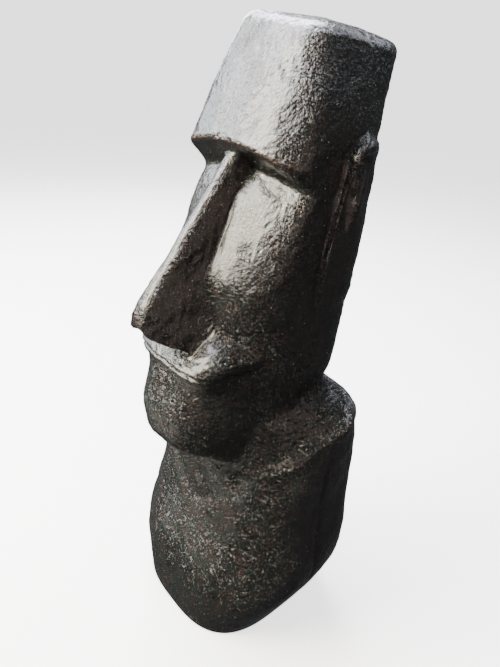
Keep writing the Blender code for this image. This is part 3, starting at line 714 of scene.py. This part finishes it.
def cast_stone(sizes):
    """Patinated cast stone: cement and fine sand from a mould, stained nearly black and waxed.

    The wax has a satin gloss, which breaks up into sparkle over the grains and the pebbly skin.
    The stain drifts between grey-green and brown, with thin reddish patches, pale dust and rubbed
    edges.  Its pits are near-black: dirt in them, and painted shade.  A few pale specks are bare
    grains, and also painted glints.  Three numbers at each point of the skin say where it is worn,
    brushed and sandy.
    """
    material, tree, shader = new_material("patinated cast stone")
    place = add(tree, "ShaderNodeTexCoord").outputs["Object"]
    worn = add(tree, "ShaderNodeAttribute", attribute_name="worn").outputs["Fac"]
    brushed = add(tree, "ShaderNodeAttribute", attribute_name="brushed").outputs["Fac"]
    sandy = add(tree, "ShaderNodeAttribute", attribute_name="sandy").outputs["Fac"]

    def noise(size, detail, roughness=0.5, vector=place, distortion=0.0):
        """Noise whose cells are a real size across, in millimetres."""
        inputs = {"Vector": vector, "Scale": 1 / (size * MM), "Detail": detail,
                  "Roughness": roughness, "Distortion": distortion}
        return add(tree, "ShaderNodeTexNoise", inputs).outputs["Fac"]

    def ranged(value, low, high, to_low=0.0, to_high=1.0):
        """A value spread from one range to another, and held at its ends."""
        inputs = {"Value": value, "From Min": low, "From Max": high, "To Min": to_low,
                  "To Max": to_high}
        return add(tree, "ShaderNodeMapRange", inputs).outputs["Result"]

    def maths(kind, a, b):
        """One operation on two numbers."""
        return add(tree, "ShaderNodeMath", {0: a, 1: b}, operation=kind).outputs[0]

    def cells(size, feature="F1", vector=place, **settings):
        """Rounded cells of a real size across, in millimetres: 0 at a cell's middle."""
        inputs = {"Vector": vector, "Scale": 1 / (size * MM), **settings}
        return add(tree, "ShaderNodeTexVoronoi", inputs, feature=feature).outputs["Distance"]

    def vectors(kind, a, b):
        """One operation on two vectors."""
        return add(tree, "ShaderNodeVectorMath", {0: a, 1: b}, operation=kind)

    def blend(share, a, b):
        """The second colour laid over the first by a share."""
        inputs = {"Factor": share, 6: a, 7: b}
        return add(tree, "ShaderNodeMix", inputs, data_type="RGBA").outputs[2]

    def paint(colour):
        """An opaque colour, as a node takes it."""
        return (*colour, 1.0)

    cloud, mottle, speck = noise(110, 3), noise(26, 5, 0.65), noise(3, 2, 0.6)
    pits = maths("MULTIPLY", ranged(cells(11), 0.05, 0.13), ranged(cells(30), 0.03, 0.075))

    stain = blend(ranged(cloud, 0.35, 0.65), paint(sizes.green), paint(sizes.brown))
    stain = blend(maths("MULTIPLY", ranged(mottle, 0.47, 0.64), 0.6), stain, paint(sizes.red))
    stain = blend(maths("MULTIPLY", ranged(speck, 0.58, 0.76), 0.45), stain, paint(sizes.dust))
    stain = blend(maths("MULTIPLY", worn, ranged(mottle, 0.35, 0.60)), stain, paint(sizes.rubbed))
    # the pits are painted near-black: dirt in them, and painted shade in the hollows
    stain = blend(pits, paint(3 * [PIT_DIRT_AND_SHADE]), stain)
    # pale specks: a few bare grains, and painted glints that stand in for light sparkling on grains
    sand_and_glints = maths("MULTIPLY", ranged(cells(13), 0.055, 0.045), ranged(noise(60, 1), 0.45, 0.55))
    stain = blend(sand_and_glints, stain, paint(sizes.sand_and_glints))
    tree.links.new(stain, shader.inputs["Base Color"])

    gloss = ranged(mottle, 0.35, 0.68, sizes.roughness - GLOSS_SPREAD,
                   sizes.roughness + GLOSS_SPREAD)
    tree.links.new(gloss, shader.inputs["Roughness"])
    shader.inputs["IOR"].default_value = WAX_IOR
    shader.inputs["Coat Weight"].default_value = WAX_COAT
    shader.inputs["Coat Roughness"].default_value = WAX_COAT_ROUGHNESS

    # strokes: noise drawn out along the height of the statue
    scale = (1.0, 1.0, STROKE_STRETCH)
    stroke_place = add(tree, "ShaderNodeMapping", {"Vector": place, "Scale": scale}).outputs[0]
    strokes = noise(3.2, 2, 0.55, stroke_place, 0.4)

    # pebbles: noise and soft round cells, which fall away from their middles
    inputs = {"Vector": place, "Scale": 1 / DRIFT_SIZE, "Detail": 1.0}
    drift = add(tree, "ShaderNodeTexNoise", inputs).outputs["Color"]
    drift = add(tree, "ShaderNodeVectorMath", {0: drift, "Scale": DRIFT}, operation="SCALE")
    drifted = vectors("ADD", place, drift.outputs[0]).outputs[0]
    blobs = cells(6.0, "SMOOTH_F1", drifted, Smoothness=0.35)
    pebble = maths("SUBTRACT", noise(6.5, 2, 0.55), maths("MULTIPLY", blobs, 0.5))

    # grains: flat facets, each tilted its own way, so the height is tilt . (place - its middle)
    facets = add(tree, "ShaderNodeTexVoronoi", {"Vector": drifted, "Scale": 1 / GRAIN_SIZE})
    tilts = vectors("SUBTRACT", facets.outputs["Color"], (0.5, 0.5, 0.5)).outputs[0]
    across = vectors("SUBTRACT", drifted, facets.outputs["Position"]).outputs[0]
    grain = vectors("DOT_PRODUCT", tilts, across).outputs["Value"]
    patches = ranged(noise(34, 4, 0.65), 0.42, 0.60, 0.2, 1.2)
    grainy = maths("MULTIPLY", ranged(sandy, 0, 1, 0.12, 1.0), patches)

    shape = None
    for height, share, deep in (        # layers of relief, one over another
            (pebble, ranged(sandy, 0, 1, 0.8, 0.35), sizes.pebble),
            (noise(16, 2), 1.0, LUMP_HEIGHT),
            (strokes, brushed, STROKE_HEIGHT),
            (pits, 1.0, PIT_DEPTH),
            (grain, grainy, sizes.grain),
            (noise(1.9, 2, 0.6), 1.0, POWDER_HEIGHT)):
        settings = {"Height": maths("MULTIPLY", height, share), "Distance": deep, "Strength": 1.0}
        if shape is not None:
            settings["Normal"] = shape
        shape = add(tree, "ShaderNodeBump", settings).outputs[0]
    tree.links.new(shape, shader.inputs["Normal"])
    return material


def pale_floor(glow):
    """Painted studio floor: an even, matt off-white."""
    material, tree, shader = new_material("painted studio floor")
    shader.inputs["Base Color"].default_value = linear("e6e5e2")
    shader.inputs["Roughness"].default_value = 0.9
    shader.inputs["Emission Color"].default_value = (1, 1, 1, 1)
    shader.inputs["Emission Strength"].default_value = glow
    return material


# ---- sizes and colours that a user would change ----
class MoaiStatueSettings(bpy.types.PropertyGroup):
    fineness: IntProperty(
        name="Fineness", description="Points of the skin between the statue's main lines",
        default=4, min=1, max=4)
    waves: FloatProperty(
        name="Waves", description="Height of the broad hand-shaped waves of the skin",
        default=0.0008, min=0, max=0.004, unit="LENGTH", precision=5)
    dimples: FloatProperty(
        name="Dimples", description="Height of the small dimples of the skin",
        default=0.00045, min=0, max=0.002, unit="LENGTH", precision=5)
    pebble: FloatProperty(
        name="Pebble", description="Height of the pebbly relief in the finish",
        default=0.0030, min=0, max=0.01, unit="LENGTH", precision=5)
    grain: FloatProperty(
        name="Grain", description="Slope of the grains of sand in the finish",
        default=1.6, min=0, max=4)
    roughness: FloatProperty(
        name="Roughness", description="How dull the waxed skin is", default=0.185, min=0.05, max=1,
        subtype="FACTOR")
    green: FloatVectorProperty(
        name="Green stain", description="The stain's dark grey-green", subtype="COLOR", min=0,
        max=1, default=linear("191f1d")[:3])
    brown: FloatVectorProperty(
        name="Brown stain", description="The stain's blackish brown", subtype="COLOR", min=0, max=1,
        default=linear("1b1c1b")[:3])
    red: FloatVectorProperty(
        name="Red stain", description="Where the stain is thin and reddish", subtype="COLOR", min=0,
        max=1, default=linear("2c1d1a")[:3])
    dust: FloatVectorProperty(
        name="Dust", description="Fine specks of pale dust", subtype="COLOR", min=0, max=1,
        default=linear("45433f")[:3])
    rubbed: FloatVectorProperty(
        name="Rubbed edges", description="Where the stain is rubbed off the edges", subtype="COLOR",
        min=0, max=1, default=linear("34271f")[:3])
    # colour of the pale specks: bare grains, and painted glints
    sand_and_glints: FloatVectorProperty(
        name="Sand", description="The few grains of sand left bare", subtype="COLOR", min=0, max=1,
        default=linear("b5ada0")[:3])


class MoaiStageSettings(bpy.types.PropertyGroup):
    key_glow: FloatProperty(
        name="Key lights", description="Brightness of the soft lights at the statue's right",
        default=47, min=0)
    bounce_glow: FloatProperty(
        name="Floor bounce", description="Brightness of the light from the floor before the statue",
        default=1.2, min=0)
    sky_glow: FloatProperty(
        name="Sky light", description="Brightness of the light high on the statue's right",
        default=30, min=0)
    rim_glow: FloatProperty(
        name="Rim light", description="Brightness of the light behind the statue", default=3, min=0)
    side_glow: FloatProperty(
        name="Side light", description="Brightness of the warm lights at the statue's left",
        default=1.6, min=0)
    floor_glow: FloatProperty(
        name="Floor glow", description="Light the floor gives off, which evens it", default=2.2,
        min=0)


# ---- operators ----
class MOAI_OT_statue(bpy.types.Operator):
    """Make the statue's fine skin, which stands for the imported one"""
    bl_idname = "moai.statue"
    bl_label = "Make the statue"

    def execute(self, context):
        sizes = context.scene.moai_statue
        rings = closed_skin(sizes.fineness)
        normals = grid_normals(rings)
        bend = bending(rings, normals, BEND_REACH)
        z = rings[..., 2] / UNIT
        relief = sizes.waves * ripples(rings, *WAVES) + sizes.dimples * ripples(rings, *DIMPLES)
        rings = rings + normals * (relief * ease(*RELIEF_STARTS_OVER, z))[..., None]

        count = rings.shape[1]
        crown_point = rings[-1].mean(axis=0)
        points = np.vstack([rings[:-1].reshape(-1, 3), crown_point])
        rows = np.arange(len(rings) - 2)[:, None] * count
        here = np.arange(count)
        after = (here + 1) % count
        walls = np.stack([rows + here, rows + after, rows + count + after, rows + count + here], -1)
        last = (len(rings) - 2) * count
        cap = np.stack([last + here, last + after, np.full(count, len(points) - 1)], -1)
        faces = [list(here[::-1])] + walls.reshape(-1, 4).tolist() + cap.tolist()
        piece = new_piece("statue", points, faces, cast_stone(sizes))

        outward, forward, upward = np.abs(normals[..., 0]), -normals[..., 1], normals[..., 2]
        plane = ease(*PLANE_FORWARD_OVER, forward) * ease(*PLANE_UPWARD_OVER, upward)
        plane = plane * ease(*PLANE_OVER, z)
        shelf = ease(*SHELF_UPWARD_OVER, upward) * ease(*SHELF_STARTS_OVER, z)
        shelf = shelf * (1 - ease(*SHELF_ENDS_OVER, z))
        kept = 1 - SAND_LOST * ease(*HEAD_LOSES_SAND_OVER, z)
        for name, values in (
                ("worn", ease(*WORN_OVER, bend)),
                ("brushed", ease(*SIDE_OUTWARD_OVER, outward) * ease(*BRUSHED_OVER, z)),
                ("sandy", (1 - np.maximum(plane, shelf)) * kept)):
            paint_points(piece, name, np.append(values[:-1].ravel(), values[-1].mean()))
        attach(piece, BODY)
        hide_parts(STATUE)
        return {"FINISHED"}


# the stage: sizes in metres, and angles in degrees
MIDDLE = np.array([0, 0, LOW.z + 0.53 * UNIT])     # the lights face this place
SUNLIT_PLACE = (-0.45, -1.5)                       # x and y of the sunlit part of the floor
SUNLIT_SIZE = (1.3, 1.9)
ROOM_COLOUR = (0.9, 0.95, 1, 1)
ROOM_GLOW = 0.10

FLAT_RADII = (0.5, 3, 10)    # rings of the level floor, which turns up after them
TURN_UP_RADIUS = 20
TURN_UP = 8                  # radius of the turn, and points along it
TURN_UP_POINTS = 12
WALL_HEIGHT = 40
FLOOR_SIDES = 96

CAMERA_TURN = 46.48          # from the front toward its left, then down, then rolled
CAMERA_DOWN = 27.17
CAMERA_ROLL = 5.81
CAMERA_AWAY = 0.76926        # in UNITs: from the axis, across that line, and up from the floor
CAMERA_ACROSS = -0.00520
CAMERA_UP = 0.94421
LENS = 28.265                # in millimetres, for a film this high
FILM_HEIGHT = 36


def seen_at(turn, rise, away):
    """A place at a distance from the statue's middle, at a turn and a rise in degrees.

    The turn is from its front toward its left, and the rise is from level.
    """
    turn, rise = np.radians([turn, rise])
    toward = np.array([np.sin(turn) * np.cos(rise), -np.cos(turn) * np.cos(rise), np.sin(rise)])
    return MIDDLE + away * toward


def soft_light(name, place, size, glow, colour, aim=None):
    """A rectangular light that faces its aim: the statue's middle, or another place.

    Glow is its brightness, so its power is pi times its area times that.
    """
    aim = MIDDLE if aim is None else aim
    light = bpy.data.lights.new(name, "AREA")
    light.shape = "RECTANGLE"
    light.size, light.size_y = size
    light.energy = np.pi * size[0] * size[1] * glow
    light.color = linear(colour)[:3]
    lamp = bpy.data.objects.new(name, light)
    lamp.location = place
    lamp.rotation_euler = Vector(place - aim).to_track_quat("Z", "Y").to_euler()
    lamp.visible_camera = False
    bpy.context.scene.collection.objects.link(lamp)


class MOAI_OT_stage(bpy.types.Operator):
    """Make the floor, the lights and the camera"""
    bl_idname = "moai.stage"
    bl_label = "Make the stage"

    def execute(self, context):
        sizes = context.scene.moai_stage
        glow = sizes.key_glow
        for name, place, size, brightness, colour in (      # left and right as the camera sees it
                ("key", (-25, 33, 4.2), (2.2, 2.4), glow, "fdf3dd"),
                ("high key", (-46, 38, 4.4), (3.2, 2.2), 0.21 * glow, "f5f8fa"),
                ("left", (-72, 26, 4.2), (2.8, 1.5), 0.26 * glow, "ecf3fa"),
                ("far left", (-119, 40, 4.2), (1.4, 4.2), 0.31 * glow, "f2f4ff"),
                ("sky", (-88, 64, 3.8), (4.2, 1.8), sizes.sky_glow, "f2f2ff"),
                ("rim", (175, 52, 4.2), (3.0, 2.4), sizes.rim_glow, "eef3ff"),
                ("warm corner", (50, 15, 4.2), (1.2, 1.1), 5.0 * sizes.side_glow, "ffe4dc"),
                ("side", (88, 8, 4.2), (3.0, 1.6), sizes.side_glow, "ffe2d0")):
            soft_light(name, seen_at(*place), size, brightness, colour)
        floor = np.array([*SUNLIT_PLACE, LOW.z + 10 * MM])
        soft_light("sunlit floor", floor, SUNLIT_SIZE, sizes.bounce_glow, "fff6ea",
                   floor + (0, 0, 1))

        world = bpy.data.worlds.new("dim room")
        world.use_nodes = True
        room = world.node_tree.nodes["Background"].inputs
        room["Color"].default_value = ROOM_COLOUR
        room["Strength"].default_value = ROOM_GLOW
        context.scene.world = world

        make_floor(sizes.floor_glow)
        make_camera(context)
        return {"FINISHED"}


def make_floor(glow):
    """A flat disc of floor that turns up into a wide round wall.

    Its profile is a radius and a height at each point, carried round the vertical axis.
    """
    turn = np.linspace(0, np.pi / 2, TURN_UP_POINTS)
    radius = np.concatenate([FLAT_RADII, TURN_UP_RADIUS + TURN_UP * np.sin(turn),
                             [TURN_UP_RADIUS + TURN_UP]])
    height = np.concatenate([np.zeros(len(FLAT_RADII)), TURN_UP - TURN_UP * np.cos(turn),
                             [WALL_HEIGHT]])
    angle = np.linspace(0, 2 * np.pi, FLOOR_SIDES, endpoint=False)
    grid = np.stack([radius[:, None] * np.cos(angle), radius[:, None] * np.sin(angle),
                     np.broadcast_to(LOW.z + height[:, None], (len(radius), len(angle)))], -1)
    count = len(angle)
    rows = np.arange(len(radius) - 1)[:, None] * count
    here = np.arange(count)
    after = (here + 1) % count
    walls = np.stack([rows + here, rows + count + here, rows + count + after, rows + after], -1)
    mesh = bpy.data.meshes.new("floor")
    mesh.from_pydata(grid.reshape(-1, 3), [], walls.reshape(-1, 4).tolist() + [list(here)])
    mesh.shade_smooth()
    mesh.materials.append(pale_floor(glow))
    floor = bpy.data.objects.new("floor", mesh)
    floor.visible_diffuse = False
    floor.visible_glossy = False
    bpy.context.scene.collection.objects.link(floor)


def make_camera(context):
    """A camera near the statue's left front, above it and a little rolled."""
    turn, down, roll = np.radians([CAMERA_TURN, CAMERA_DOWN, CAMERA_ROLL])
    ahead = np.array([-np.sin(turn), np.cos(turn), 0])
    across = np.array([np.cos(turn), np.sin(turn), 0])
    up = np.array([0, 0, 1])
    view = ahead * np.cos(down) - up * np.sin(down)
    above = ahead * np.sin(down) + up * np.cos(down)
    right = across * np.cos(roll) + above * np.sin(roll)
    above = above * np.cos(roll) - across * np.sin(roll)
    place = UNIT * (CAMERA_ACROSS * across - CAMERA_AWAY * ahead + CAMERA_UP * up) + LOW.z * up
    camera = bpy.data.cameras.new("camera")
    camera.sensor_fit = "VERTICAL"
    camera.sensor_height = FILM_HEIGHT
    camera.lens = LENS
    thing = bpy.data.objects.new("camera", camera)
    rows = np.stack([right, above, -view, place], -1)
    thing.matrix_world = Matrix([*rows.tolist(), [0, 0, 0, 1]])
    context.scene.collection.objects.link(thing)
    context.scene.camera = thing


class MOAI_PT_panel(bpy.types.Panel):
    """The statue and its stage"""
    bl_idname = "MOAI_PT_panel"
    bl_label = "Moai garden statue"
    bl_space_type = "VIEW_3D"
    bl_region_type = "UI"
    bl_category = "Moai"

    def draw(self, context):
        for settings, operator in ((context.scene.moai_statue, MOAI_OT_statue),
                                   (context.scene.moai_stage, MOAI_OT_stage)):
            box = self.layout.box()
            for name in settings.__annotations__:
                box.prop(settings, name)
            box.operator(operator.bl_idname)


CLASSES = (MoaiStatueSettings, MoaiStageSettings, MOAI_OT_statue, MOAI_OT_stage, MOAI_PT_panel)


def register():
    for cls in CLASSES:
        bpy.utils.register_class(cls)
    bpy.types.Scene.moai_statue = PointerProperty(type=MoaiStatueSettings)
    bpy.types.Scene.moai_stage = PointerProperty(type=MoaiStageSettings)


def unregister():
    del bpy.types.Scene.moai_stage
    del bpy.types.Scene.moai_statue
    for cls in reversed(CLASSES):
        bpy.utils.unregister_class(cls)


def main():
    register()
    bpy.ops.moai.statue()
    bpy.ops.moai.stage()


if __name__ == "__main__":
    main()
